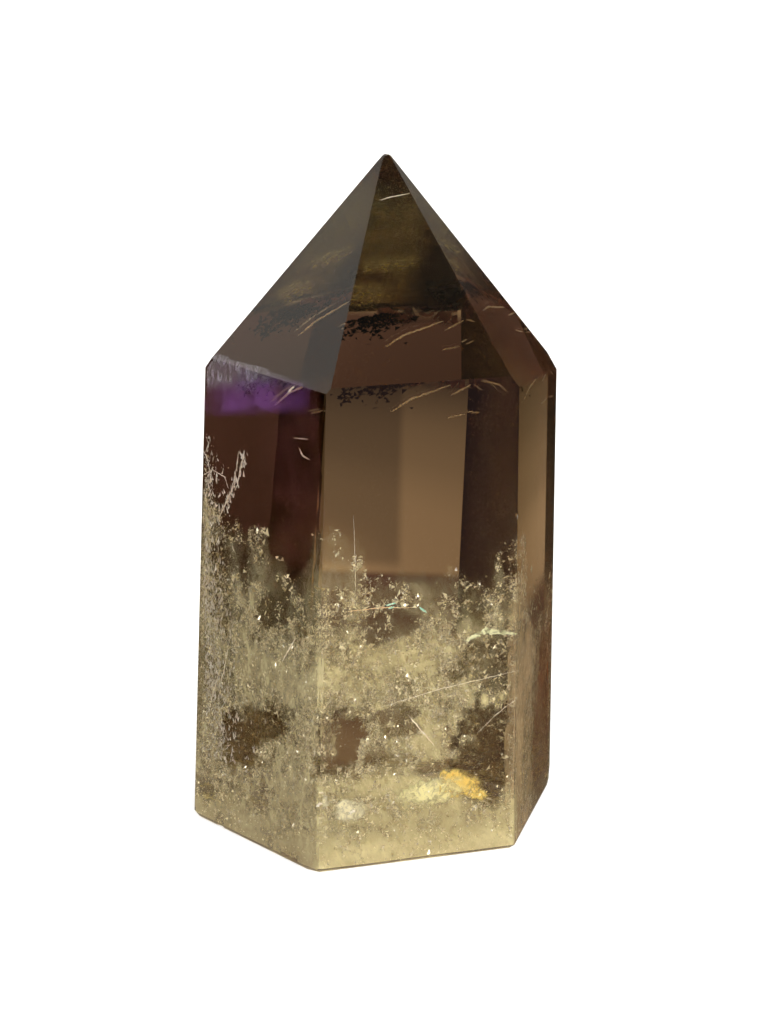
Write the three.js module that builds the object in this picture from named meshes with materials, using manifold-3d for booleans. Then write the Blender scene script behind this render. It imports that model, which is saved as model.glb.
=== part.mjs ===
// A quartz point, cut and polished from one crystal: a six-sided column that leans in
// slightly all round, six sloping faces that meet in a worn tip, and a flat sawn base.
// Millimetres, +Z up, the base on Z = 0 and centred on the origin.
// The photographed side looks towards -Y, turned a little to the right.

import * as THREE from 'three';
import * as BufferGeometryUtils from 'three/addons/utils/BufferGeometryUtils.js';
import Module from 'manifold-3d';

// Column faces, anticlockwise from above. The azimuth is the way the face looks, the reach is
// its distance from the growing axis at the base, and the lean is how far it tips inwards.
const COLUMN_FACES = {
  left: { azimuth: -134.7, reach: 18.7, lean: 1.3 },
  centre: { azimuth: -71.9, reach: 17.45, lean: 0.8 },
  right: { azimuth: -16.5, reach: 18.9, lean: 1.5 },
  backRight: { azimuth: 45.8, reach: 18.37, lean: 0.8 },
  back: { azimuth: 113.6, reach: 17.45, lean: 3.3 },
  backLeft: { azimuth: 166.5, reach: 18.35, lean: 1.7 },
};

// Faces of the point, in the same order. The slope is the angle to the horizontal, and the
// undercut is how far the face was ground below the corner that all six were aimed at.
const POINT_FACES = {
  left: { azimuth: -132.6, slope: 52.3, undercut: 0.01 },
  centre: { azimuth: -72.6, slope: 53.5, undercut: 0.16 },
  right: { azimuth: -12.6, slope: 54.0, undercut: 0.07 },
  backRight: { azimuth: 46.5, slope: 52.0, undercut: 0.17 },
  back: { azimuth: 111.7, slope: 58.7, undercut: 0.12 },
  backLeft: { azimuth: 166.5, slope: 53.0, undercut: 0.16 },
};
const AIM = new THREE.Vector3(0.2, -0.6, 75.2);

// The tip is rubbed round by rings of small flats. Each ring has its slope, and how far below
// the corner that the faces were aimed at its flats lie.
const TIP_WEAR = [
  { slope: 45, depth: 0.22 },
  { slope: 28, depth: 0.45 },
  { slope: 0, depth: 0.6 },
];

// The edge between the left and the centre face is rubbed off, wider towards the base. The
// rubbing reaches this far over either face at the base, and fades out at the top.
const RUBBED_EDGE = { overLeft: 1.5, leftFade: 2.2, overCentre: 0.7, centreFade: 2.5, top: 52.4 };
const RUBBING_STEPS = 9;
const RUBBING_OVERSHOOT = 1;

// The rim of the base is eased all round, and its corners are knocked off by small flats that
// look outwards and down. The right-hand corner has a second, steeper flat above the first.
const BASE_RIM = 0.14;
const BASE_CORNERS = [
  { faces: ['backLeft', 'left'], tilt: 45, depth: 0.4 },
  { faces: ['centre', 'right'], tilt: 45, depth: 0.25 },
  { faces: ['right', 'backRight'], tilt: 45, depth: 0.6 },
  { faces: ['right', 'backRight'], tilt: 7, depth: 0.32 },
  { faces: ['backRight', 'back'], tilt: 45, depth: 0.5 },
  { faces: ['back', 'backLeft'], tilt: 45, depth: 0.4 },
];

// Chips, each a shallow scoop: its place, the size of the scoop and how deep it bites.
const CHIPS = [
  { name: 'base rim, left face', faces: ['left', 'base'], along: 0.225, radius: 1.8, bite: 0.26 },
  { name: 'right-hand edge', faces: ['centre', 'right'], along: 0.735, radius: 0.8, bite: 0.16 },
];

const BLOCK = 160;
const CRYSTAL_COLOUR = 0x6b5838;
const CRYSTAL_ROUGHNESS = 0.06;

const wasm = await Module();
wasm.setup();

// Turns a three.js geometry into a solid, and a solid back into a geometry.
function toSolid(geometry) {
  geometry.deleteAttribute('normal');
  geometry.deleteAttribute('uv');
  const merged = BufferGeometryUtils.mergeVertices(geometry);
  return new wasm.Manifold(new wasm.Mesh({
    numProp: 3,
    vertProperties: Float32Array.from(merged.attributes.position.array),
    triVerts: Uint32Array.from(merged.index.array),
  }));
}

function toGeometry(solid) {
  const mesh = solid.getMesh();
  const geometry = new THREE.BufferGeometry();
  geometry.setAttribute('position', new THREE.Float32BufferAttribute(mesh.vertProperties, 3));
  geometry.setIndex(Array.from(mesh.triVerts));
  geometry.computeVertexNormals();
  return geometry;
}

// The direction at an azimuth and a height above the horizon, both in degrees.
function direction(azimuth, elevation) {
  const turn = THREE.MathUtils.degToRad(azimuth);
  const rise = THREE.MathUtils.degToRad(elevation);
  return new THREE.Vector3(
    Math.cos(turn) * Math.cos(rise),
    Math.sin(turn) * Math.cos(rise),
    Math.sin(rise),
  );
}

function columnPlane({ azimuth, reach, lean }) {
  const normal = direction(azimuth, lean);
  const foot = direction(azimuth, 0).multiplyScalar(reach);
  return new THREE.Plane().setFromNormalAndCoplanarPoint(normal, foot);
}

function pointPlane({ azimuth, slope, undercut }) {
  const normal = direction(azimuth, 90 - slope);
  const corner = AIM.clone().addScaledVector(normal, -undercut);
  return new THREE.Plane().setFromNormalAndCoplanarPoint(normal, corner);
}

const basePlane = new THREE.Plane(new THREE.Vector3(0, 0, -1), 0);

function levelPlane(height) {
  return new THREE.Plane(new THREE.Vector3(0, 0, 1), -height);
}

// The corner that three planes share.
function corner(a, b, c) {
  const bc = b.normal.clone().cross(c.normal);
  const ca = c.normal.clone().cross(a.normal);
  const ab = a.normal.clone().cross(b.normal);
  const volume = a.normal.dot(bc);
  return bc.multiplyScalar(-a.constant)
    .addScaledVector(ca, -b.constant)
    .addScaledVector(ab, -c.constant)
    .divideScalar(volume);
}

// Grinds away everything in front of a plane.
function grind(solid, plane) {
  const block = new THREE.BoxGeometry(BLOCK, BLOCK, BLOCK);
  const facing = new THREE.Quaternion().setFromUnitVectors(new THREE.Vector3(0, 0, 1), plane.normal);
  const centre = plane.normal.clone().multiplyScalar(BLOCK / 2 - plane.constant);
  block.applyQuaternion(facing);
  block.translate(centre.x, centre.y, centre.z);
  return solid.subtract(toSolid(block));
}

// Grinds a small flat that cuts a corner or an edge back by a depth.
function grindBack(solid, normal, place, depth) {
  const cut = place.clone().addScaledVector(normal, -depth);
  return grind(solid, new THREE.Plane().setFromNormalAndCoplanarPoint(normal, cut));
}

const columnPlanes = Object.fromEntries(
  Object.entries(COLUMN_FACES).map(([side, face]) => [side, columnPlane(face)]),
);
const pointPlanes = Object.fromEntries(
  Object.entries(POINT_FACES).map(([side, face]) => [side, pointPlane(face)]),
);

function roughCrystal() {
  const block = new THREE.BoxGeometry(BLOCK, BLOCK, BLOCK).translate(0, 0, BLOCK / 2);
  const planes = [...Object.values(columnPlanes), ...Object.values(pointPlanes)];
  return planes.reduce(grind, toSolid(block));
}

function wearTip(solid) {
  let worn = solid;
  for (const { slope, depth } of TIP_WEAR) {
    for (const { azimuth } of Object.values(POINT_FACES)) {
      worn = grindBack(worn, direction(azimuth, 90 - slope), AIM, depth);
    }
  }
  return worn;
}

// One section of the tool that rubs the left and centre edge: a triangle outside the crystal,
// whose long side runs through the two borders of the rubbed strip.
function rubbingSection(height, overLeft, overCentre) {
  const { left, centre } = columnPlanes;
  const edge = corner(left, centre, levelPlane(height));
  const leftward = new THREE.Vector3(left.normal.y, -left.normal.x, 0).normalize();
  const rightward = new THREE.Vector3(-centre.normal.y, centre.normal.x, 0).normalize();
  const borderLeft = edge.clone().addScaledVector(leftward, overLeft);
  const borderRight = edge.clone().addScaledVector(rightward, overCentre);
  const across = borderRight.clone().sub(borderLeft).normalize();
  const outward = left.normal.clone().add(centre.normal).setZ(0).normalize();
  return [
    borderLeft.addScaledVector(across, -RUBBING_OVERSHOOT),
    borderRight.addScaledVector(across, RUBBING_OVERSHOOT),
    edge.addScaledVector(outward, 2 * RUBBING_OVERSHOOT),
  ];
}

function rubLeftEdge(solid) {
  const { overLeft, leftFade, overCentre, centreFade, top } = RUBBED_EDGE;
  const points = [];
  const triangles = [0, 1, 2];
  for (let step = 0; step <= RUBBING_STEPS; step += 1) {
    const rise = step / RUBBING_STEPS;
    const height = rise * top - (step === 0 ? RUBBING_OVERSHOOT : 0);
    const reachLeft = overLeft * (1 - rise ** leftFade);
    const reachCentre = overCentre * (1 - rise) ** centreFade;
    points.push(...rubbingSection(height, reachLeft, reachCentre));
    if (step === RUBBING_STEPS) break;
    for (let side = 0; side < 3; side += 1) {
      const a = 3 * step + side;
      const b = 3 * step + (side + 1) % 3;
      triangles.push(a, a + 3, b, b, a + 3, b + 3);
    }
  }
  const last = 3 * RUBBING_STEPS;
  triangles.push(last, last + 2, last + 1);
  const tool = new THREE.BufferGeometry().setFromPoints(points);
  tool.setIndex(triangles);
  return solid.subtract(toSolid(tool));
}

function easeBase(solid) {
  let eased = solid;
  for (const { azimuth, reach } of Object.values(COLUMN_FACES)) {
    const rim = direction(azimuth, 0).multiplyScalar(reach);
    eased = grindBack(eased, direction(azimuth, -45), rim, BASE_RIM * Math.SQRT1_2);
  }
  for (const { faces: [one, other], tilt, depth } of BASE_CORNERS) {
    const place = corner(columnPlanes[one], columnPlanes[other], basePlane);
    const azimuth = THREE.MathUtils.radToDeg(Math.atan2(place.y, place.x));
    eased = grindBack(eased, direction(azimuth, -tilt), place, depth);
  }
  return eased;
}

// A chip's place: part of the way along the base rim of one face, or up the edge of two.
function chipPlace({ faces: [one, other], along }) {
  if (other === 'base') {
    const start = corner(columnPlanes.backLeft, columnPlanes[one], basePlane);
    const end = corner(columnPlanes[one], columnPlanes.centre, basePlane);
    return start.lerp(end, along);
  }
  const foot = corner(columnPlanes[one], columnPlanes[other], basePlane);
  const head = corner(columnPlanes[one], columnPlanes[other], pointPlanes[other]);
  return foot.lerp(head, along);
}

function chip(solid, spec) {
  const [one, other] = spec.faces;
  const otherNormal = other === 'base' ? basePlane.normal : columnPlanes[other].normal;
  const outward = columnPlanes[one].normal.clone().add(otherNormal).normalize();
  const centre = chipPlace(spec).addScaledVector(outward, spec.radius - spec.bite);
  const scoop = new THREE.IcosahedronGeometry(spec.radius, 2).translate(centre.x, centre.y, centre.z);
  return solid.subtract(toSolid(scoop));
}

function crystalGeometry() {
  const ground = easeBase(rubLeftEdge(wearTip(roughCrystal())));
  const chipped = CHIPS.reduce(chip, ground);
  const geometry = toGeometry(chipped);
  geometry.computeBoundingBox();
  const middle = geometry.boundingBox.getCenter(new THREE.Vector3());
  return geometry.translate(-middle.x, -middle.y, 0);
}

const crystalMaterial = new THREE.MeshStandardMaterial({
  color: CRYSTAL_COLOUR,
  roughness: CRYSTAL_ROUGHNESS,
  metalness: 0,
});

const crystal = new THREE.Mesh(crystalGeometry(), crystalMaterial);
crystal.name = 'quartz_point';

const part = new THREE.Group();
part.add(crystal);

export default part;
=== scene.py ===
import math

import bmesh
import bpy
import numpy as np
from mathutils import Matrix, Vector


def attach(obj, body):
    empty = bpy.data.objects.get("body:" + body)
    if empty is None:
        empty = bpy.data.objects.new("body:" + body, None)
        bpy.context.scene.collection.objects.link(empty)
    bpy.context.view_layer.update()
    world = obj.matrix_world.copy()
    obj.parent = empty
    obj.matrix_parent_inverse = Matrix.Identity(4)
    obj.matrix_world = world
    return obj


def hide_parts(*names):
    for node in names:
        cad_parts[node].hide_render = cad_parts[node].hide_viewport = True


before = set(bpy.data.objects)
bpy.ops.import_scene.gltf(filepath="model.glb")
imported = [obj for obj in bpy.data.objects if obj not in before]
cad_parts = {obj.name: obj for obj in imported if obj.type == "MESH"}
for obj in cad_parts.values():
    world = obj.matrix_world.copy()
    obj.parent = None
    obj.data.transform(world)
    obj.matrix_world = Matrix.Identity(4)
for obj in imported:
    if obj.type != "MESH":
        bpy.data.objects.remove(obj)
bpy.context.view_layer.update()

MM = 0.001


# The camera
# It stands a hand's reach in front of the point, a little above its tip and held a degree out
# of level.
CAMERA_PLACE = (0.35 * MM, -207.97 * MM, 94.66 * MM)
CAMERA_PITCH = math.radians(16.133)
CAMERA_ROLL = math.radians(1.1245)
CAMERA_LENS = 67.32

camera_data = bpy.data.cameras.new("close_up")
camera_data.lens = CAMERA_LENS
camera_data.sensor_width = 36.0
camera_data.clip_start = 0.005
camera_data.clip_end = 60.0
camera = bpy.data.objects.new("close_up", camera_data)
camera.matrix_world = (
    Matrix.Translation(CAMERA_PLACE)
    @ Matrix.Rotation(math.pi / 2 - CAMERA_PITCH, 4, "X")
    @ Matrix.Rotation(CAMERA_ROLL, 4, "Z")
)
bpy.context.scene.collection.objects.link(camera)
bpy.context.scene.camera = camera


# The floor
# One wide sheet, a hair below the ground base so that the two don't touch. Seen directly it is
# matt and white. All other rays see a glowing table painted in its stead: painted light that is
# brightest behind on the left, a painted shadow of the crystal, a painted dim stripe, painted
# shade in front on the left and at the right end, and a painted reddish glow in front.
# Each edge on the table is given by where it starts to fade in and where it is full.
FLOOR_SIZE = 24.0
FLOOR_GAP = 0.05 * MM
FLOOR_PALE = (0.84, 0.87, 0.95, 1.0)
# The glowing table's colour, its pool of light and its shadow are painted light and painted shade.
PAINTED_TABLE_LIGHT = (0.66, 0.49, 0.31, 1.0)
PAINTED_LIGHT_CENTRE = (-30 * MM, 85 * MM, 0.0)
PAINTED_LIGHT_FALLOFF = [
    (0.0, 1.5), (0.025, 1.4), (0.036, 0.97), (0.051, 0.89), (0.07, 0.64), (0.092, 0.50),
    (0.12, 0.20), (0.15, 0.06), (0.19, 0.02),
]
PAINTED_SHADOW_COLOUR = (0.17, 0.095, 0.07, 1.0)
SHADOW_SIDES = (45 * MM, 35 * MM)
SHADOW_NEAR = (25 * MM, 39 * MM)
SHADOW_FAR = (87 * MM, 83 * MM)
SHADOW_SLANT = 0.12
LEFT_SIDE = (-33 * MM, -57 * MM)
LEFT_NEAR = (60 * MM, 30 * MM)
PAINTED_LEFT_SHADE = 0.75
STRIPE_LEFT = (-40 * MM, -24 * MM)
STRIPE_RIGHT = (-1.5 * MM, -3.5 * MM)
STRIPE_FAR = (84 * MM, 92 * MM)
STRIPE_SLANT = 0.075
PAINTED_STRIPE_SHADE = 0.42
RIGHT_END = (23 * MM, 5 * MM)
RIGHT_SLANT = 0.4
RIGHT_LEVEL = 0.05
PAINTED_GLOW_COLOUR = (0.27, 0.16, 0.15, 1.0)
GLOW_FRONT = (5 * MM, -25 * MM)
GLOW_SIDE = (-30 * MM, 10 * MM)


def new_material(name):
    """An empty node material and its node tree."""
    material = bpy.data.materials.new(name)
    material.use_nodes = True
    material.node_tree.nodes.clear()
    return material, material.node_tree


def add_node(tree, kind, values=None, **settings):
    """Adds a node, sets its properties by keyword and its sockets from a dict of values."""
    node = tree.nodes.new(kind)
    for key, value in settings.items():
        setattr(node, key, value)
    for socket, value in (values or {}).items():
        node.inputs[socket].default_value = value
    return node


def smooth_step(tree, source, low, high, start=0.0, end=1.0):
    """A value that goes smoothly from start, where source is low, to end, where it is high."""
    sockets = {1: low, 2: high, 3: start, 4: end}
    step = add_node(tree, "ShaderNodeMapRange", sockets, interpolation_type="SMOOTHSTEP")
    tree.links.new(source, step.inputs[0])
    return step.outputs[0]


def calculate(tree, operation, *values):
    """A math node of one or two sockets or plain numbers."""
    node = add_node(tree, "ShaderNodeMath", operation=operation)
    for number, value in enumerate(values):
        if isinstance(value, (int, float)):
            node.inputs[number].default_value = value
        else:
            tree.links.new(value, node.inputs[number])
    return node.outputs[0]


def product(tree, first, *others):
    """The product of values, each a socket or a plain number."""
    for value in others:
        first = calculate(tree, "MULTIPLY", first, value)
    return first


def blend_colours(tree, factor, first, second):
    """A mix of two colours, each a socket or a plain colour."""
    node = add_node(tree, "ShaderNodeMix", data_type="RGBA")
    tree.links.new(factor, node.inputs[0])
    for number, colour in ((6, first), (7, second)):
        if isinstance(colour, tuple):
            node.inputs[number].default_value = colour
        else:
            tree.links.new(colour, node.inputs[number])
    return node.outputs[2]


def show_surface(tree, shader):
    """Adds a material's output node, with a shader as its surface."""
    output = add_node(tree, "ShaderNodeOutputMaterial")
    tree.links.new(shader.outputs[0], output.inputs["Surface"])
    return output


def new_mesh(name, points, faces, values=None):
    """A mesh object from arrays of points and faces, with named values at its points."""
    mesh = bpy.data.meshes.new(name)
    mesh.from_pydata(np.asarray(points).tolist(), [], np.asarray(faces).tolist())
    mesh.update()
    for label, amounts in (values or {}).items():
        attribute = mesh.attributes.new(label, "FLOAT", "POINT")
        attribute.data.foreach_set("value", amounts.astype(np.float32))
    obj = bpy.data.objects.new(name, mesh)
    bpy.context.scene.collection.objects.link(obj)
    return obj


def right_of(tree, place, slant):
    """How far right a place is of a line that runs back from the origin and leans by slant."""
    return calculate(tree, "SUBTRACT", place.outputs["X"], product(tree, place.outputs["Y"], slant))


half = FLOOR_SIZE / 2
corners = ((-half, -half), (half, -half), (half, half), (-half, half))
floor = new_mesh("floor", [(x, y, -FLOOR_GAP) for x, y in corners], [(0, 1, 2, 3)])
floor_material, tree = new_material("pale_floor_painted_table")
coords = add_node(tree, "ShaderNodeTexCoord")
place = add_node(tree, "ShaderNodeSeparateXYZ")
tree.links.new(coords.outputs["Object"], place.inputs[0])
rightward, backward = place.outputs["X"], place.outputs["Y"]
distance = add_node(tree, "ShaderNodeVectorMath", {1: PAINTED_LIGHT_CENTRE}, operation="DISTANCE")
tree.links.new(coords.outputs["Object"], distance.inputs[0])
falloff = add_node(tree, "ShaderNodeValToRGB")
stops = falloff.color_ramp.elements
while len(stops) < len(PAINTED_LIGHT_FALLOFF):
    stops.new(0.5)
for stop, (reach, level) in zip(stops, PAINTED_LIGHT_FALLOFF):
    stop.position = reach
    stop.color = (level, level, level, 1.0)
tree.links.new(distance.outputs["Value"], falloff.inputs[0])
# Painted shadow of the crystal, painted shade on the left and in the stripe, and a painted glow in front.
sideways = calculate(tree, "ABSOLUTE", right_of(tree, place, SHADOW_SLANT))
in_painted_shadow = product(
    tree, smooth_step(tree, sideways, *SHADOW_SIDES), smooth_step(tree, backward, *SHADOW_FAR),
    smooth_step(tree, backward, *SHADOW_NEAR),
)
painted_left_shade = product(
    tree, smooth_step(tree, rightward, *LEFT_SIDE), smooth_step(tree, backward, *LEFT_NEAR),
    PAINTED_LEFT_SHADE,
)
aside = right_of(tree, place, STRIPE_SLANT)
stripe = product(
    tree, smooth_step(tree, aside, *STRIPE_LEFT), smooth_step(tree, aside, *STRIPE_RIGHT),
    smooth_step(tree, backward, *STRIPE_FAR), PAINTED_STRIPE_SHADE,
)
on_table = smooth_step(tree, right_of(tree, place, RIGHT_SLANT), *RIGHT_END, RIGHT_LEVEL, 1.0)
strength = product(
    tree, falloff.outputs[0], calculate(tree, "SUBTRACT", 1.0, painted_left_shade),
    calculate(tree, "SUBTRACT", 1.0, stripe), on_table,
)
in_front = product(
    tree, smooth_step(tree, backward, *GLOW_FRONT), smooth_step(tree, rightward, *GLOW_SIDE),
)
# The table's glow, seen by all rays but the camera's, is painted light with a painted shadow in it.
table = blend_colours(tree, in_painted_shadow, PAINTED_TABLE_LIGHT, PAINTED_SHADOW_COLOUR)
glow = add_node(tree, "ShaderNodeEmission")
tree.links.new(blend_colours(tree, in_front, table, PAINTED_GLOW_COLOUR), glow.inputs["Color"])
tree.links.new(calculate(tree, "MAXIMUM", strength, in_front), glow.inputs["Strength"])
matt = add_node(tree, "ShaderNodeBsdfDiffuse", {"Color": FLOOR_PALE})
rays = add_node(tree, "ShaderNodeLightPath")
seen = add_node(tree, "ShaderNodeMixShader")
tree.links.new(rays.outputs["Is Camera Ray"], seen.inputs[0])
tree.links.new(glow.outputs[0], seen.inputs[1])
tree.links.new(matt.outputs[0], seen.inputs[2])
show_surface(tree, seen)
floor.data.materials.append(floor_material)


# The studio light
# The room around the crystal: a dim sky with soft bright panels in front, high on the left,
# high behind, behind on the right, on the right and in front on the left. One panel of negative
# strength, low behind on the right, is a dark wall. The camera itself sees a white backdrop.
SKY_DIM = 0.08
BACKDROP_LEVEL = 1.0
WARM_WHITE = (1.0, 0.955, 0.87, 1.0)
PURE_WHITE = (1.0, 1.0, 1.0, 1.0)
# Each panel: its direction, the cosines of the angle at which it starts and is full, its strength.
PANELS = (
    ((0.10, -0.93, 0.35), 0.80, 0.97, 9.0),
    ((-0.75, 0.30, 0.60), 0.60, 0.95, 0.9),
    ((0.25, 0.70, 0.80), 0.86, 0.97, 4.0),
    ((0.38, 0.90, 0.36), 0.967, 0.985, 0.24),
    ((0.46, 0.89, 0.02), 0.975, 0.990, -0.07),
    ((0.95, -0.30, 0.30), 0.80, 0.96, 3.5),
    ((-0.62, -0.62, 0.45), 0.90, 0.98, 4.0),
)

world = bpy.data.worlds.new("soft_studio")
world.use_nodes = True
tree = world.node_tree
tree.nodes.clear()
coords = add_node(tree, "ShaderNodeTexCoord")
light = add_node(tree, "ShaderNodeValue")
light.outputs[0].default_value = SKY_DIM
strength = light.outputs[0]
for direction, start, full, power in PANELS:
    towards = Vector(direction).normalized()
    facing = add_node(tree, "ShaderNodeVectorMath", {1: towards}, operation="DOT_PRODUCT")
    tree.links.new(coords.outputs["Generated"], facing.inputs[0])
    glow = smooth_step(tree, facing.outputs["Value"], start, full, 0.0, power)
    strength = calculate(tree, "ADD", glow, strength)
rays = add_node(tree, "ShaderNodeLightPath")
seen = add_node(tree, "ShaderNodeMix", {3: BACKDROP_LEVEL}, data_type="FLOAT")
tree.links.new(rays.outputs["Is Camera Ray"], seen.inputs[0])
tree.links.new(strength, seen.inputs[2])
background = add_node(tree, "ShaderNodeBackground")
tree.links.new(seen.outputs[0], background.inputs["Strength"])
white = blend_colours(tree, rays.outputs["Is Camera Ray"], WARM_WHITE, PURE_WHITE)
tree.links.new(white, background.inputs["Color"])
output = add_node(tree, "ShaderNodeOutputWorld")
tree.links.new(background.outputs[0], output.inputs["Surface"])
scene = bpy.context.scene
scene.world = world
scene.view_settings.view_transform = "Standard"
scene.cycles.max_bounces = 24
scene.cycles.transmission_bounces = 20
scene.cycles.glossy_bounces = 12
scene.cycles.diffuse_bounces = 4
scene.cycles.transparent_max_bounces = 32


# The crystal
# One body of clear smoky quartz, sawn, ground flat and polished. The lap has left a fine pale
# line along every edge, and the sawn base is only ground, so it is matt.
WELD_DISTANCE = 0.002 * MM
FLAT_ANGLE = math.radians(0.4)
LONG_EDGE = 2.5 * MM
EDGE_EASE = 0.05 * MM
EDGE_ANGLE = math.radians(9)
POLISHED_ABOVE = 0.04 * MM
GROUND_BELOW = 0.02 * MM
GROUND_ROUGHNESS = 0.6
CRYSTAL_IOR = 1.544
BODY_COLOUR = (0.70, 0.63, 0.52, 1.0)
BODY_DENSITY = 100.0

shape = bmesh.new()
shape.from_mesh(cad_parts["quartz_point"].data)
bmesh.ops.remove_doubles(shape, verts=shape.verts, dist=WELD_DISTANCE)
bmesh.ops.dissolve_limit(shape, angle_limit=FLAT_ANGLE, verts=shape.verts, edges=shape.edges)
long_edges = [
    edge for edge in shape.edges
    if edge.calc_length() > LONG_EDGE and edge.calc_face_angle(0) > EDGE_ANGLE
]
bmesh.ops.bevel(
    shape, geom=long_edges, offset=EDGE_EASE, offset_type="WIDTH", segments=1,
    profile=0.5, affect="EDGES", clamp_overlap=True,
)
crystal_mesh = bpy.data.meshes.new("polished_crystal")
shape.to_mesh(crystal_mesh)
shape.free()
crystal = bpy.data.objects.new("polished_crystal", crystal_mesh)
scene.collection.objects.link(crystal)

crystal_material, tree = new_material("polished_quartz")
surface = add_node(tree, "ShaderNodeBsdfPrincipled", {
    "Base Color": (1.0, 1.0, 1.0, 1.0),
    "Roughness": 0.0,
    "IOR": CRYSTAL_IOR,
    "Transmission Weight": 1.0,
})
absorb = add_node(tree, "ShaderNodeVolumeAbsorption", {"Color": BODY_COLOUR, "Density": BODY_DENSITY})
coords = add_node(tree, "ShaderNodeTexCoord")
place = add_node(tree, "ShaderNodeSeparateXYZ")
tree.links.new(coords.outputs["Object"], place.inputs[0])
ground = {1: POLISHED_ABOVE, 2: GROUND_BELOW, 3: 0.0, 4: GROUND_ROUGHNESS}
matt_base = add_node(tree, "ShaderNodeMapRange", ground)
tree.links.new(place.outputs["Z"], matt_base.inputs[0])
tree.links.new(matt_base.outputs[0], surface.inputs["Roughness"])
output = show_surface(tree, surface)
tree.links.new(absorb.outputs[0], output.inputs["Volume"])
crystal_mesh.materials.append(crystal_material)
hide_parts("quartz_point")
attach(crystal, "root")


# The veils
# Sheets of tiny fluid-filled cracks that healed while the crystal grew. They fill its lower
# half behind every face: a milky haze, made of soft sheets one behind the other, with dull
# flakes and shiny ones in it that catch the light.
# Each column face has its azimuth, its distance from the axis at the base, how far it leans in,
# and the way that its veils run into the crystal.
FACES = {
    "left": {"azimuth": -134.7, "reach": 19.32, "lean": 1.3, "run": (0.279, 0.935, -0.219)},
    "centre": {"azimuth": -71.9, "reach": 17.77, "lean": 0.8, "run": (-0.111, 0.971, -0.213)},
    "right": {"azimuth": -16.5, "reach": 18.65, "lean": 1.5, "run": (-0.565, 0.794, -0.223)},
    "back_right": {"azimuth": 45.8, "reach": 17.75, "lean": 0.8, "run": (-0.68, -0.70, -0.21)},
    "back": {"azimuth": 113.6, "reach": 17.18, "lean": 3.3, "run": (0.39, -0.89, -0.21)},
    "back_left": {"azimuth": 166.5, "reach": 18.63, "lean": 1.7, "run": (0.95, -0.23, -0.21)},
}
WALL_AREA = 1.0 * MM * MM
CLEARANCE = 0.06
HAZE_ALPHA = 0.62
HAZE_UPRIGHT = 0.55
MOST_HAZE = 0.85
EVEN_MOTTLE = 0.52


def noise_2d(x, y, seed):
    """Smooth random values from 0 to 1: a lattice of random numbers, blended between its
    points with 3t^2 - 2t^3."""
    lattice = np.random.default_rng(seed).random((64, 64))
    column, row = np.floor(x).astype(int), np.floor(y).astype(int)
    u, v = x - column, y - row
    u, v = u * u * (3 - 2 * u), v * v * (3 - 2 * v)
    a = lattice[row % 64, column % 64]
    b = lattice[row % 64, (column + 1) % 64]
    c = lattice[(row + 1) % 64, column % 64]
    d = lattice[(row + 1) % 64, (column + 1) % 64]
    return (a * (1 - u) + b * u) * (1 - v) + (c * (1 - u) + d * u) * v


def crystal_walls():
    """The normals and offsets, in millimetres, of the crystal's flat faces."""
    flat = [p for p in crystal_mesh.polygons if p.area > WALL_AREA]
    normals = np.array([tuple(p.normal) for p in flat])
    offsets = np.array([tuple(p.center) for p in flat]) / MM
    return normals, (normals * offsets).sum(1)


wall_normals, wall_offsets = crystal_walls()


def on_face(face, across, height, depth):
    """Places behind a face: a point of the face at (across, height), moved by depth along the
    way that the veils run. Millimetres."""
    azimuth = math.radians(face["azimuth"])
    outward = np.array([math.cos(azimuth), math.sin(azimuth), 0.0])
    rightward = np.array([-math.sin(azimuth), math.cos(azimuth), 0.0])
    reach = face["reach"] - height * math.tan(math.radians(face["lean"]))
    surface_points = np.outer(reach, outward) + np.outer(across, rightward)
    surface_points[:, 2] = height
    return surface_points + np.outer(depth, np.array(face["run"]))


def flakes(name, centres, radii, seed, flatness=0.25, along=(0.0, 0.0, 1.0), spread=3.0, stretch=1.5):
    """Flattened tetrahedra. Three corners lie on an ellipse of the flake's radius, stretched
    along a direction that varies by spread, and the fourth stands over its middle by flatness
    times the radius. Flakes too near to a wall of the crystal are left out."""
    rng = np.random.default_rng(seed)
    room = (centres @ wall_normals.T - wall_offsets).max(1) + radii * stretch * 1.25
    keep = room < -CLEARANCE
    centres, radii = centres[keep], radii[keep]
    count = len(centres)
    first = np.array(along) + spread * rng.normal(size=(count, 3))
    first /= np.linalg.norm(first, axis=1)[:, None]
    normal = np.cross(first, rng.normal(size=(count, 3)))
    normal /= np.linalg.norm(normal, axis=1)[:, None]
    second = np.cross(normal, first)
    turn = np.arange(3)[None, :] * 2 * np.pi / 3 + rng.uniform(-0.5, 0.5, (count, 3))
    length = radii[:, None] * rng.uniform(0.6, 1.25, (count, 3))
    flat = (
        first[:, None, :] * (np.cos(turn) * length * stretch)[:, :, None]
        + second[:, None, :] * (np.sin(turn) * length)[:, :, None]
    )
    top = normal * (radii * flatness)[:, None]
    corners = np.concatenate([flat, top[:, None, :]], 1) + centres[:, None, :]
    start = 4 * np.arange(count)[:, None, None]
    faces = start + np.array([[0, 2, 1], [0, 1, 3], [1, 2, 3], [2, 0, 3]])[None]
    shades = np.repeat(rng.random(count), 4)
    return new_mesh(name, corners.reshape(-1, 3) * MM, faces.reshape(-1, 3), {"flake_shade": shades})


def flake_material(name, dull, bright, roughness, metallic=0.0, shine=0.5):
    """Flakes of a colour between dull and bright, each its own, and partly glossy."""
    material, tree = new_material(name)
    shade = add_node(tree, "ShaderNodeAttribute", attribute_name="flake_shade")
    colour = add_node(tree, "ShaderNodeMix", {6: dull, 7: bright}, data_type="RGBA")
    surface = add_node(tree, "ShaderNodeBsdfPrincipled", {
        "Roughness": roughness, "Metallic": metallic, "Specular IOR Level": shine,
    })
    tree.links.new(shade.outputs["Fac"], colour.inputs[0])
    tree.links.new(colour.outputs[2], surface.inputs["Base Color"])
    show_surface(tree, surface)
    return material


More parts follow.
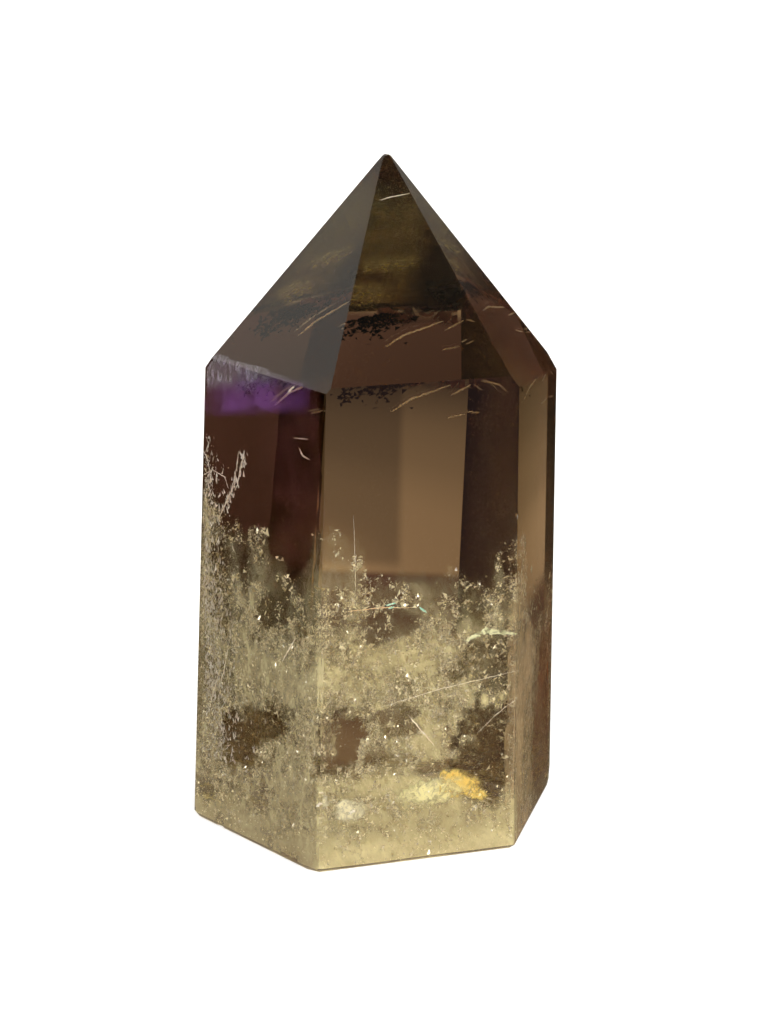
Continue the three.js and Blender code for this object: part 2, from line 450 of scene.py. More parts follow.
def mottle_group():
    """The mottling that all sheets share, as a shader node group: two noises, one of the given
    grain in millimetres and one four times as coarse, both drawn out along a direction that
    leans from the vertical. Fine and Coarse are the noises, and Mottle is 0.4 of the first and
    0.6 of the second."""
    group = bpy.data.node_groups.new("mottle", "ShaderNodeTree")
    sockets = (("Place", "Vector"), ("Grain", "Float"), ("Lean", "Float"), ("Upright Scale", "Float"))
    for name, kind in sockets:
        group.interface.new_socket(name, in_out="INPUT", socket_type="NodeSocket" + kind)
    for name in ("Fine", "Coarse", "Mottle"):
        group.interface.new_socket(name, in_out="OUTPUT", socket_type="NodeSocketFloat")
    given = add_node(group, "NodeGroupInput")
    result = add_node(group, "NodeGroupOutput")
    leaned = add_node(group, "ShaderNodeVectorRotate", rotation_type="Y_AXIS")
    group.links.new(given.outputs["Place"], leaned.inputs["Vector"])
    group.links.new(given.outputs["Lean"], leaned.inputs["Angle"])
    scales = add_node(group, "ShaderNodeCombineXYZ", {"X": 1.0, "Y": 1.0})
    group.links.new(given.outputs["Upright Scale"], scales.inputs["Z"])
    drawn = add_node(group, "ShaderNodeVectorMath", operation="MULTIPLY")
    group.links.new(leaned.outputs[0], drawn.inputs[0])
    group.links.new(scales.outputs[0], drawn.inputs[1])
    per_metre = calculate(group, "DIVIDE", 1000, given.outputs["Grain"])
    parts = []
    coarse_scale = calculate(group, "DIVIDE", per_metre, 4)
    for label, scale, weight in (("Fine", per_metre, 0.4), ("Coarse", coarse_scale, 0.6)):
        noise = add_node(group, "ShaderNodeTexNoise", {"Detail": 3.0, "Roughness": 0.62, "Distortion": 1.0})
        group.links.new(drawn.outputs[0], noise.inputs["Vector"])
        group.links.new(scale, noise.inputs["Scale"])
        group.links.new(noise.outputs[0], result.inputs[label])
        parts.append(calculate(group, "MULTIPLY", noise.outputs[0], weight))
    group.links.new(calculate(group, "ADD", *parts), result.inputs["Mottle"])
    return group


mottle_nodes = mottle_group()


def mottling(tree, grain, lean, upright):
    """Adds the mottle group to a material, with its place from the Object coordinates."""
    coords = add_node(tree, "ShaderNodeTexCoord")
    node = add_node(tree, "ShaderNodeGroup", node_tree=mottle_nodes)
    tree.links.new(coords.outputs["Object"], node.inputs["Place"])
    for socket, value in (("Grain", grain), ("Lean", math.radians(lean)), ("Upright Scale", upright)):
        node.inputs[socket].default_value = value
    return node


def haze_material(name, dark, pale, grain, lean):
    """A soft milky sheet. It is as opaque as its own fill says, times the mottling, and the
    mottling fades to one even value where the sheet is calm."""
    material, tree = new_material(name)
    fill = add_node(tree, "ShaderNodeAttribute", attribute_name="veil_fill")
    calm = add_node(tree, "ShaderNodeAttribute", attribute_name="veil_calm")
    even = add_node(tree, "ShaderNodeMix", {3: EVEN_MOTTLE}, data_type="FLOAT")
    tree.links.new(calm.outputs["Fac"], even.inputs[0])
    tree.links.new(mottling(tree, grain, lean, HAZE_UPRIGHT).outputs["Mottle"], even.inputs[2])
    mottle = even.outputs[0]
    strength = smooth_step(tree, mottle, 0.36, 0.62, 0.35, 1.40)
    cover = product(tree, fill.outputs["Fac"], strength, HAZE_ALPHA)
    colour = blend_colours(tree, smooth_step(tree, mottle, 0.38, 0.60), dark, pale)
    surface = add_node(tree, "ShaderNodeBsdfPrincipled", {"Roughness": 0.6})
    tree.links.new(colour, surface.inputs["Base Color"])
    tree.links.new(calculate(tree, "MINIMUM", cover, MOST_HAZE), surface.inputs["Alpha"])
    show_surface(tree, surface)
    return material


# The veil behind each face: the most flakes it has, its width across the face, its haze sheets,
# the lean of their mottling in degrees, the height of its cloudy foot, its noise seed and
# colours, the line of its top as (across, height), and its windows and clouds as in spots.
BACK_COLOURS = {"pale": (1.0, 0.90, 0.52, 1.0), "dark": (0.34, 0.25, 0.10, 1.0)}
VEILS = {
    "left": {
        "count": 36000, "across": (-10.6, 10.6), "sheets": 3, "lean": -4, "base": 3.6, "seed": 200,
        "pale": (0.80, 0.74, 0.46, 1.0), "dark": (0.36, 0.28, 0.17, 1.0),
        "top": [
            (-10.6, 47.0), (-8.6, 44.0), (-7.7, 40.0), (-6.0, 36.5), (-2.9, 36.0), (1.1, 36.0),
            (2.7, 33.5), (5.1, 32.5), (10.6, 34.4),
        ],
        "windows": [
            (-2.4, 11.4, 3.3, 4.2, 1.0), (1.4, 14.6, 3.8, 1.9, 0.95), (-9.7, 16.5, 1.0, 6.5, 0.9),
            (1.6, 27.5, 1.5, 2.0, 0.8), (-5.4, 25.7, 1.4, 2.4, 0.8), (-2.0, 31.0, 1.2, 3.0, 0.7),
            (4.0, 17.0, 3.0, 0.9, 0.6), (-8.0, 4.5, 1.6, 2.6, 0.6), (1.0, 5.0, 1.6, 1.8, 0.5),
            (-7.0, 29.0, 3.6, 5.0, 0.65), (-8.5, 20.0, 1.6, 4.0, 0.5), (5.0, 28.5, 3.0, 2.6, 0.25),
            (12.4, 13.5, 2.6, 3.6, 1.0), (-6.6, 21.0, 3.6, 8.0, 0.45),
        ],
        "clouds": [(5.5, 20.5, 4.5, 3.2, 0.8), (5.0, 8.0, 3.5, 2.4, 0.8), (1.0, 21.5, 4.0, 1.6, 0.8)],
    },
    "centre": {
        "count": 40000, "across": (-12.2, 11.2), "sheets": 3, "lean": 24, "base": 6.6, "seed": 210,
        "pale": (1.0, 0.93, 0.54, 1.0), "dark": (0.52, 0.43, 0.19, 1.0),
        "top": [
            (-12.2, 37.0), (-8.5, 37.0), (-7.0, 33.0), (-5.1, 31.6), (-3.0, 31.8), (-0.7, 33.6),
            (1.2, 33.0), (2.6, 31.2), (5.0, 31.0), (7.5, 33.0), (11.0, 32.0),
        ],
        "windows": [
            (-10.6, 15.2, 3.4, 3.6, 1.0), (8.2, 12.2, 6.2, 6.6, 0.98), (-3.8, 17.2, 3.0, 1.1, 0.8),
            (-2.8, 15.4, 2.2, 1.0, 0.8), (0.2, 10.6, 1.9, 1.1, 0.8), (-5.6, 13.2, 1.4, 1.6, 0.75),
            (8.2, 21.4, 5.6, 4.2, 0.86), (3.6, 12.4, 1.8, 1.0, 0.7), (-5.5, 27.0, 4.5, 2.0, 0.7),
            (-10.5, 27.0, 2.4, 4.0, 0.6), (-8.5, 17.8, 3.5, 0.9, 0.6), (-3.0, 11.8, 2.5, 0.8, 0.6),
        ],
        "clouds": [
            (-1.5, 23.4, 6.0, 2.0), (-0.4, 14.0, 2.6, 2.6), (-4.5, 9.0, 6.0, 2.0),
            (-8.5, 20.6, 4.5, 2.0, 0.75), (4.2, 19.4, 1.4, 2.2), (-1.5, 29.6, 4.0, 2.0, 0.22),
        ],
    },
    "right": {
        "count": 12000, "across": (-8.4, 9.5), "sheets": 2, "lean": -12, "base": 1.0, "seed": 220,
        "pale": (1.0, 0.80, 0.48, 1.0), "dark": (0.50, 0.33, 0.17, 1.0),
        "top": [(-8.4, 32.0), (-2.3, 29.8), (3.1, 26.4), (9.5, 22.0)],
        "windows": [(6.0, 8.5, 5.4, 9.5, 0.9)],
        "clouds": [(-6.4, 13.0, 2.8, 14.0), (-3.0, 20.5, 3.5, 3.5)],
    },
    "back_right": {
        "count": 9000, "across": (-11.5, 11.5), "sheets": 1, "lean": 10, "base": 4.0, "seed": 230,
        **BACK_COLOURS,
        "top": [(-11.5, 24.0), (-5.0, 28.0), (-3.0, 12.0), (4.0, 12.0), (6.0, 24.0), (11.5, 26.0)],
        "windows": [
            (-3.0, 12.0, 3.0, 2.2), (5.0, 20.0, 2.2, 2.8), (8.8, 4.5, 3.2, 7.5),
            (1.8, 6.5, 4.0, 5.5, 0.7),
        ],
        "clouds": [(0.0, 7.0, 6.0, 2.0)],
    },
    "back": {
        "count": 9000, "across": (-11.5, 11.5), "sheets": 1, "lean": -15, "base": 4.0, "seed": 240,
        **BACK_COLOURS,
        "top": [(-11.5, 10.0), (-7.5, 12.0), (-5.0, 22.0), (4.0, 27.0), (11.5, 35.0)],
        "windows": [
            (2.0, 15.0, 3.2, 2.4), (2.0, 6.0, 3.4, 3.6), (-3.2, 8.6, 1.8, 1.4), (-10.5, 6.5, 3.6, 8.0),
        ],
        "clouds": [(-4.0, 10.0, 4.0, 2.0)],
    },
    "back_left": {
        "count": 9000, "across": (-10.5, 10.5), "sheets": 1, "lean": 5, "base": 4.0, "seed": 250,
        **BACK_COLOURS,
        "top": [(-10.5, 35.0), (0.0, 30.0), (6.0, 38.0), (10.5, 44.0)],
        "windows": [(-2.0, 10.0, 2.8, 2.0), (3.0, 22.0, 2.4, 3.0)],
        "clouds": [(5.0, 15.0, 3.0, 4.0)],
    },
}
VEIL_HEIGHT = 47.0
TRIES_PER_FLAKE = 16
GLINT_SHARE = 0.2
SHEET_SPACING = 0.25
SHEET_DEPTHS = (0.8, 2.2, 4.2)


def spots(places, across, height, rough, soft=0.35):
    """1 inside ragged ovals, given as (across, height, half width, half height), going down to
    0 outside over a soft part of their radius. A fifth number is the most that one reaches."""
    inside = np.zeros_like(across)
    for x, z, half_width, half_height, *most in places:
        distance = np.hypot((across - x) / half_width, (height - z) / half_height) + rough
        level = most[0] if most else 1.0
        inside = np.maximum(inside, level * np.clip((1 + soft / 2 - distance) / soft, 0, 1))
    return inside


def veil_fill(veil, across, height):
    """How full a veil is at a place of a face, from 0 to 1, before its threads. It grows over
    several millimetres below the veil's ragged top, varies in clouds, is fuller in a few soft
    clouds and near the base, and is empty in the clear windows."""
    seed = veil["seed"]
    ragged = 4.6 * (noise_2d(across / 1.1 + 7, height / 4 + 3, seed) - 0.5)
    top = np.interp(across, *np.array(veil["top"]).T) + ragged
    below = np.clip((top - height) / 11.0, 0, 1) ** 1.3
    cloud = noise_2d(across / 2.6 + 11, height / 2.0 + 5, seed + 1)
    small = noise_2d(across / 0.8 + 3, height / 0.8 + 9, seed + 2)
    rough = 0.6 * (small - 0.5) + 0.5 * (cloud - 0.5)
    amount = np.where(top > height, 0.04 + 0.80 * below, 0.0) * (0.30 + 0.80 * cloud)
    amount = np.maximum(amount, 0.95 * spots(veil["clouds"], across, height, rough, 1.2))
    amount = np.maximum(amount, np.clip((veil["base"] - height) / 5.0, 0, 0.95))
    amount = amount * (1 - 0.97 * spots(veil["windows"], across, height, 0.75 * rough, 0.4))
    return np.clip(amount, 0, 1)


def veil_calm(veil, across, height):
    """How smooth a veil is, from 0 to 1: smooth in its clouds and near the base."""
    rough = 0.8 * (noise_2d(across / 1.5 + 3, height / 1.5 + 9, veil["seed"] + 5) - 0.5)
    return np.maximum(
        0.75 * spots(veil["clouds"], across, height, rough, 1.2),
        np.interp(height, (0.0, veil["base"] - 1.0, veil["base"] + 2.0), (0.85, 0.75, 0.0)),
    )


def veil_density(veil, across, height):
    """The chance of a flake at a place: the veil's fill, broken into threads, into clumps under
    the veil's top, and lower where the veil is smooth."""
    seed = veil["seed"]
    fine = noise_2d(across / 0.5 + 3, height / 0.6 + 9, seed + 4)
    ridge = 1 - np.abs(2 * noise_2d(across / 0.7 + 13, height / 1.4 + 1, seed + 3) - 1)
    threads = np.clip(ridge * 1.6 - 0.6, 0, 1) * np.clip(fine * 1.8 - 0.4, 0, 1)
    clumps = np.clip(4.0 * (noise_2d(across / 1.7 + 4, height / 1.5 + 6, seed + 6) - 0.42), 0, 1)
    top = np.interp(across, *np.array(veil["top"]).T)
    speckled = np.clip(veil_fill(veil, across, height) * 3.0, 0, 1)
    speckled = speckled * (1 - 0.9 * spots(veil["windows"], across, height, 0.4 * (fine - 0.5), 0.3))
    speckled = speckled * np.maximum(clumps, np.clip((top - 5.0 - height) / 3.0, 0, 1))
    speckled = speckled * (1 - 0.85 * veil_calm(veil, across, height))
    return np.clip(speckled * (0.06 + 1.2 * threads), 0, 1)


def sheet_mesh(name, points, columns, values, used=None, margin=CLEARANCE):
    """A sheet through a grid of points that are given row by row, in millimetres, with named
    values at them. A square of the grid is kept if its corners all lie inside the crystal's
    walls by the margin, and if one of them at least is used."""
    inside = (points @ wall_normals.T - wall_offsets).max(1) < -margin
    index = np.arange(len(points)).reshape(-1, columns)
    quads = np.stack([index[:-1, :-1], index[:-1, 1:], index[1:, 1:], index[1:, :-1]], 2).reshape(-1, 4)
    keep = inside[quads].all(1)
    if used is not None:
        keep &= used[quads].any(1)
    kept, quads = np.unique(quads[keep], return_inverse=True)
    kept_values = {label: amounts[kept] for label, amounts in values.items()}
    return new_mesh(name, points[kept] * MM, quads.reshape(-1, 4), kept_values)


def veil_sheet(name, side_name, depth, seed):
    """A waving sheet behind a face: a grid of (across, height) points at depth plus a slow
    noise, holding the veil's fill and calm at each point."""
    veil = VEILS[side_name]
    columns = np.arange(*veil["across"], SHEET_SPACING)
    rows = np.arange(0.3, VEIL_HEIGHT, SHEET_SPACING)
    s, z = [grid.ravel() for grid in np.meshgrid(columns, rows)]
    wave = 0.9 * depth * (noise_2d(s / 6 + 2, z / 6 + 4, seed) - 0.5)
    points = on_face(FACES[side_name], s, z, depth + wave)
    fill = veil_fill(veil, s, z)
    values = {"veil_fill": fill, "veil_calm": veil_calm(veil, s, z)}
    return sheet_mesh(name, points, len(columns), values, used=fill > 0.01)


veil_material = flake_material("veil_flakes", (0.34, 0.26, 0.12, 1.0), (1.0, 0.94, 0.68, 1.0), 0.3)
glint_material = flake_material(
    "veil_glints", (0.90, 0.82, 0.58, 1.0), (1.0, 0.98, 0.88, 1.0), 0.15, metallic=0.7,
)
for number, (side_name, veil) in enumerate(VEILS.items()):
    rng = np.random.default_rng(100 + number)
    tries = veil["count"] * TRIES_PER_FLAKE
    across = rng.uniform(*veil["across"], tries)
    height = rng.uniform(0.1, VEIL_HEIGHT, tries)
    depth = 0.2 + rng.exponential(1.2, tries)
    chance = veil_density(veil, across, height)
    chosen = np.flatnonzero(rng.random(tries) < chance)[:veil["count"]]
    centres = on_face(FACES[side_name], across[chosen], height[chosen], depth[chosen])
    radii = np.clip(rng.lognormal(math.log(0.10), 0.55, len(chosen)), 0.05, 0.45)
    shiny = rng.random(len(chosen)) < GLINT_SHARE
    piece = flakes("veil_flakes_" + side_name, centres[~shiny], radii[~shiny], 300 + number)
    piece.data.materials.append(veil_material)
    glints = flakes(
        "veil_glints_" + side_name, centres[shiny], radii[shiny] * 0.9, 400 + number, spread=0.5, stretch=2.0,
    )
    glints.data.materials.append(glint_material)
    made = [piece, glints]
    haze = haze_material("veil_haze_" + side_name, veil["dark"], veil["pale"], 0.34, veil["lean"])
    for layer, depth in enumerate(SHEET_DEPTHS[:veil["sheets"]]):
        name = f"veil_haze_{side_name}_{layer + 1}"
        sheet = veil_sheet(name, side_name, depth, 500 + 10 * number + layer)
        sheet.data.materials.append(haze)
        made.append(sheet)
    for obj in made:
        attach(obj, "root")


# The milky base
# Just above the ground base the crystal is cloudy all through. Two soft sheets lie level in it,
# clear of the faces.
BASE_SPACING = 0.4
BASE_HALF_WIDTH = 21.0
BASE_LEVELS = (0.9, 2.4)
BASE_MARGIN = 1.0

base_haze = haze_material("milky_base", (0.30, 0.22, 0.06, 1.0), (1.0, 0.86, 0.38, 1.0), 0.6, 0)
for layer, level in enumerate(BASE_LEVELS):
    line = np.arange(-BASE_HALF_WIDTH, BASE_HALF_WIDTH, BASE_SPACING)
    x, y = [grid.ravel() for grid in np.meshgrid(line, line)]
    z = level + 0.8 * (noise_2d(x / 5 + 20, y / 5 + 20, 610 + layer) - 0.5)
    fill = np.clip(1.9 * noise_2d(x / 3.0 + 30, y / 1.6 + 30, 620 + layer) - 0.45, 0.0, 1.0)
    milky = sheet_mesh(
        f"milky_base_{layer + 1}", np.stack([x, y, z], 1), len(line), {"veil_fill": fill}, margin=BASE_MARGIN,
    )
    milky.data.materials.append(base_haze)
    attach(milky, "root")


# The left corner
# Beside the left edge the veils' cracks stand on end and flash white. They are slivers close
# behind the left face, from low down up to the amethyst band.
SLIVER_COUNT = 2800
LEFT_EDGE = -10.4

rng = np.random.default_rng(640)
sliver_height = rng.uniform(8.0, 45.0, SLIVER_COUNT)
corner_gap = np.interp(sliver_height, (8.0, 10.0, 23.0, 27.0), (1.4, 1.8, 1.6, 0.0))
corner_spread = np.interp(sliver_height, (8, 40, 45), (1.3, 0.8, 0.4))
sliver_across = LEFT_EDGE + corner_gap + rng.gamma(2.0, 1.1, SLIVER_COUNT) * corner_spread
sliver_depth = rng.uniform(0.3, 1.6, SLIVER_COUNT)
sliver_radii = np.clip(rng.lognormal(math.log(0.12), 0.4, SLIVER_COUNT), 0.05, 0.26)
sliver_centres = on_face(FACES["left"], sliver_across, sliver_height, sliver_depth)
corner_slivers = flakes(
    "corner_slivers", sliver_centres, sliver_radii, 641, flatness=0.4, spread=0.35, stretch=3.0,
)
corner_slivers.data.materials.append(
    flake_material("corner_slivers", (0.60, 0.52, 0.44, 1.0), (1.0, 1.0, 0.97, 1.0), 0.3),
)
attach(corner_slivers, "root")


# The amethyst band
# A zone in which the quartz grew violet, just under the left face below the shoulder, with a pale
# grey sheet over it near the corner, a painted reflection of the bright room. Below it a faint
# maroon sheet is painted shade: the dark red of the shaded table seen through the left face.
# Behind the right part of the centre face the crystal is faintly smoky. All are soft sheets
# inside the crystal.
BLOOM_DEPTH = 0.35
BLOOM_STEP = 0.25
BLOOM_SPACING = 0.3
BLOOM_SHADE = 0.6


def band_profile(height, edges):
    """0, 1, 1, 0 at the four heights in edges, and linear between them."""
    return np.interp(height, edges, (0.0, 1.0, 1.0, 0.0))


def bloom_sheet(name, side_name, depth, across_range, height_range, amount, seed):
    """A sheet behind a face, holding at each point the amount that a formula of (across,
    height) gives as its fill."""
    columns = np.arange(*across_range, BLOOM_SPACING)
    rows = np.arange(*height_range, BLOOM_SPACING)
    s, z = [grid.ravel() for grid in np.meshgrid(columns, rows)]
    points = on_face(FACES[side_name], s, z, depth + 0.3 * (noise_2d(s / 4, z / 4 + 9, seed) - 0.5))
    return sheet_mesh(name, points, len(columns), {"veil_fill": amount(s, z)})


def bloom_material(name, colour, grain, strength, upright):
    """A soft coloured bloom: alpha is the sheet's fill times a noise drawn out upwards."""
    material, tree = new_material(name)
    fill = add_node(tree, "ShaderNodeAttribute", attribute_name="veil_fill")
    wisps = mottling(tree, grain, 0.0, upright).outputs["Fine"]
    cover = smooth_step(tree, wisps, 0.25, 0.75, 0.3 * strength, 1.7 * strength)
    darker = tuple(BLOOM_SHADE * part for part in colour[:3]) + (1.0,)
    surface = add_node(tree, "ShaderNodeBsdfPrincipled", {"Roughness": 0.7})
    tree.links.new(blend_colours(tree, wisps, darker, colour), surface.inputs["Base Color"])
    tree.links.new(product(tree, cover, fill.outputs["Fac"]), surface.inputs["Alpha"])
    show_surface(tree, surface)
    return material


def above_band(across, height):
    """Height above the band's lower edge, which climbs a little towards the right."""
    return height - (48.9 + 0.19 * across)


def violet_amount(across, height):
    """Full below the grey wisps, with a soft lower edge, and weaker towards the right."""
    side = np.interp(across, (-11, 1.5, 5, 11), (1.0, 1.0, 0.55, 0.30))
    return np.interp(above_band(across, height), (-0.5, 0.7, 2.6, 3.8), (0.0, 1.0, 1.0, 0.15)) * side


# The fill of the pale grey sheet, a painted reflection of the bright room.
def grey_reflection_amount(across, height):
    """Only in the top millimetre or so under the shoulder, strongest at the left corner."""
    side = np.interp(across, (-11, -2, 4, 8), (1.0, 0.9, 0.35, 0.10))
    return np.interp(above_band(across, height), (2.2, 3.6, 6.0), (0.0, 1.0, 1.0)) * side


def maroon_shade_amount(across, height):
    """Faint warm painted shade over the whole clear part of the left face."""
    side = np.interp(across, (-10, 0, 3, 10), (0.6, 0.8, 2.4, 2.4))
    return band_profile(height, (30.0, 36.0, 50.0, 53.0)) * side


def smoky_amount(across, height):
    """A faint brown bloom in the right part of the centre face, thicker lower down."""
    side = np.interp(across, (3.5, 5.5), (0.0, 1.0))
    return np.interp(height, (26.0, 32.0, 46.0, 52.0), (1.0, 1.0, 0.25, 0.1)) * side


blooms = (
    ("violet_bloom", "left", violet_amount, (0.39, 0.13, 0.68, 1.0), 3.5, 0.25, 0.8),
    # A pale grey sheet: a painted reflection of the bright room.
    ("grey_painted_reflection", "left", grey_reflection_amount, (0.66, 0.64, 0.76, 1.0), 0.6, 0.30, 0.3),
    # A faint maroon sheet: painted shade, the shaded table seen through the face.
    ("maroon_painted_shade", "left", maroon_shade_amount, (0.38, 0.13, 0.13, 1.0), 3.0, 0.04, 0.5),
    ("smoky_bloom", "centre", smoky_amount, (0.44, 0.31, 0.14, 1.0), 2.0, 0.05, 0.4),
)
for number, (name, side_name, amount, colour, grain, strength, upright) in enumerate(blooms):
    depth = BLOOM_DEPTH + BLOOM_STEP * number
    bloom = bloom_sheet(name, side_name, depth, (-12.0, 12.0), (26.0, 54.0), amount, 700 + number)
    bloom.data.materials.append(bloom_material(name, colour, grain, strength, upright))
    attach(bloom, "root")


# The russet shade
# Painted shade: a red-brown sheet just under the right half of the right face, and more faintly
# under the face above it, which paints in the reddish shade of the table seen through them.
def russet_shade_amount(across, height):
    """Faint red-brown painted shade in the right half of the right face, thickest low down."""
    upward = np.interp(height, (0.0, 4.0, 14.0, 26.0, 46.0, 52.0), (0.3, 1.0, 1.0, 0.2, 0.2, 0.4))
    return upward * np.interp(across, (-1.5, 2.5, 9.5), (0.0, 0.7, 1.0))


def russet_point_shade_amount(across, height):
    """Painted shade over the lower half of the point's right face."""
    return 0.3 * np.interp(height, (52.0, 60.0, 66.0), (1.0, 0.7, 0.0)) * np.ones_like(across)


FACES["point_right"] = {"azimuth": -12.6, "reach": 54.59, "lean": 36.0, "run": (-0.60, 0.55, -0.58)}
# The russet sheets are painted shade: the shaded table seen through the right faces.
russet_material = bloom_material("russet_painted_shade", (0.34, 0.12, 0.04, 1.0), 4.0, 0.50, 0.3)
for side_name, heights, amount, seed in (
    ("right", (0.5, 52.0), russet_shade_amount, 851), ("point_right", (50.0, 74.0), russet_point_shade_amount, 852),
):
    russet = bloom_sheet("russet_painted_shade_" + side_name, side_name, 0.35, (-9.0, 10.0), heights, amount, seed)
    russet.data.materials.append(russet_material)
    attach(russet, "root")


# The dark sheets
# Two dark sheets inside the crystal. A maroon one along the back face's shoulder is painted
# shade, the table's shadow carried on into the band seen there through the point. A near-black
# one under the part of the point's back face that shows at the right darkens that part.
def shoulder_amount(across, height):
    """Full above a line that drops towards the photographed side's right."""
    return np.interp(height - (48.4 + 0.12 * (across + 4.5)), (-0.3, 0.3), (0.0, 1.0))


def smoky_point_amount(across, height):
    """Full towards negative across values, and fading out upwards."""
    upward = np.interp(height, (50.0, 57.0, 64.0), (1.0, 0.7, 0.0))
    return upward * np.interp(across, (-7.0, -4.5), (1.0, 0.0))


FACES["point_back"] = {"azimuth": 111.7, "reach": 44.66, "lean": 31.3, "run": (0.32, -0.80, -0.50)}
# The colour of the painted shade along the shoulder.
PAINTED_SHADE_MAROON = (0.16, 0.07, 0.05, 1.0)
SMOKE = (0.05, 0.045, 0.03, 1.0)
for name, side_name, rectangle, amount, colour, strength in (
    # Painted shade along the shoulder.
    ("shoulder_painted_shade", "back", ((-12.0, -2.0), (46.0, 52.0)), shoulder_amount, PAINTED_SHADE_MAROON, 0.9),
    ("smoky_dark_sheet", "point_back", ((-12.0, -4.0), (49.5, 64.0)), smoky_point_amount, SMOKE, 0.75),
):
    stain = bloom_sheet(name, side_name, 0.5, *rectangle, amount, 870)
    stain.data.materials.append(bloom_material(name, colour, 2.0, strength, 1.0))
    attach(stain, "root")


# The olive reflection
# A painted reflection: olive sheets close under the point's back face stand in for the veils near
# the base, which that face mirrors. Through the face in front they show as olive patches, one
# over the other.
def olive_reflection_amount(across, height):
    """Two level bands with a clear lens between them, in a thin olive cloud."""
    rough = 0.5 * (noise_2d(across / 1.4 + 2, height / 0.8 + 7, 860) - 0.5)
    cloud = band_profile(height, (49.5, 51.5, 66.0, 71.0)) * band_profile(across, (-7.0, -4.5, 2.0, 5.0))
    places = [(-1.9, 57.2, 3.6, 1.1, 1.0), (0.2, 52.6, 2.9, 1.7, 0.95), (-5.0, 57.6, 1.0, 1.0, 0.8)]
    bands = spots(places, across, height, rough, 0.8)
    lens = spots([(-0.6, 55.0, 2.6, 0.5)], across, height, 0.3 * rough, 0.4)
    return np.maximum(0.30 * cloud, bands) * (1 - 0.9 * lens)


# A painted reflection of the veils near the base.
olive_painted_reflection = bloom_sheet("olive_painted_reflection", "point_back", 0.45, (-8.0, 5.0), (49.5, 71.0), olive_reflection_amount, 861)
olive_painted_reflection.data.materials.append(bloom_material("olive_painted_reflection", (0.90, 0.80, 0.34, 1.0), 0.9, 0.28, 1.6))
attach(olive_painted_reflection, "root")


# The pale streaks
# Long thin cracks and scratches, which show as bright lines: a few high inside the back face,
# a few behind the front ones, and the straight ones that cross the lower half.
FACES["point_centre"] = {"azimuth": -72.6, "reach": 56.41, "lean": 36.5, "run": (-0.12, 0.85, -0.50)}
RIBBON_STEPS = 14
RIBBON_WAVER = 0.02
RIBBON_CORNERS = (0.0, 2.09, 4.19)


def ribbons(name, paths, seed):
    """Thin three-sided slivers. Each path is (face, depth, [(across, height)...], half width);
    it is divided finely, wavers a little, narrows to nothing at both ends, and its three
    corners stand around the line at 120 degrees."""
    rng = np.random.default_rng(seed)
    points, faces = [], []
    for side_name, depth, stops, half_width in paths:
        stops = np.array(stops, float)
        steps = np.linspace(0, len(stops) - 1, RIBBON_STEPS * (len(stops) - 1) + 1)
        across, height = [np.interp(steps, np.arange(len(stops)), column) for column in stops.T]
        line = on_face(FACES[side_name], across, height, np.full(len(steps), depth))
        line = line + rng.normal(0, RIBBON_WAVER, (len(steps), 3))
        direction = np.gradient(line, axis=0)
        direction /= np.linalg.norm(direction, axis=1)[:, None]
        first = np.cross(direction, (0.31, 0.87, 0.38))
        first /= np.linalg.norm(first, axis=1)[:, None]
        second = np.cross(direction, first)
        taper = np.sin(np.linspace(0.03, 0.97, len(steps)) * np.pi) ** 0.6
        width = half_width * taper * rng.uniform(0.6, 1.2, len(steps))
        start = sum(len(part) for part in points)
        for turn in RIBBON_CORNERS:
            points.append(line + (first * math.cos(turn) + second * math.sin(turn)) * width[:, None])
        rows = np.arange(len(steps) - 1)
        for one, two in ((0, 1), (1, 2), (2, 0)):
            a, b = start + one * len(steps) + rows, start + two * len(steps) + rows
            faces.append(np.stack([a, b, b + 1, a + 1], 1))
    obj = new_mesh(name, np.concatenate(points) * MM, np.concatenate(faces))
    return obj


def sheen_material(name, colour, second, roughness, grain, metallic=0.0, alpha=1.0):
    """A shiny crack surface that varies between two colours."""
    material, tree = new_material(name)
    noise = mottling(tree, grain, 0.0, 1.0).outputs["Fine"]
    mix = smooth_step(tree, noise, 0.38, 0.62)
    surface = add_node(tree, "ShaderNodeBsdfPrincipled", {"Roughness": roughness, "Metallic": metallic})
    output = add_node(tree, "ShaderNodeOutputMaterial")
    tree.links.new(blend_colours(tree, mix, colour, second), surface.inputs["Base Color"])
    if alpha < 1.0:
        cover = smooth_step(tree, noise, 0.36, 0.60, 0.15 * alpha, alpha)
        tree.links.new(cover, surface.inputs["Alpha"])
    tree.links.new(surface.outputs[0], output.inputs["Surface"])
    return material


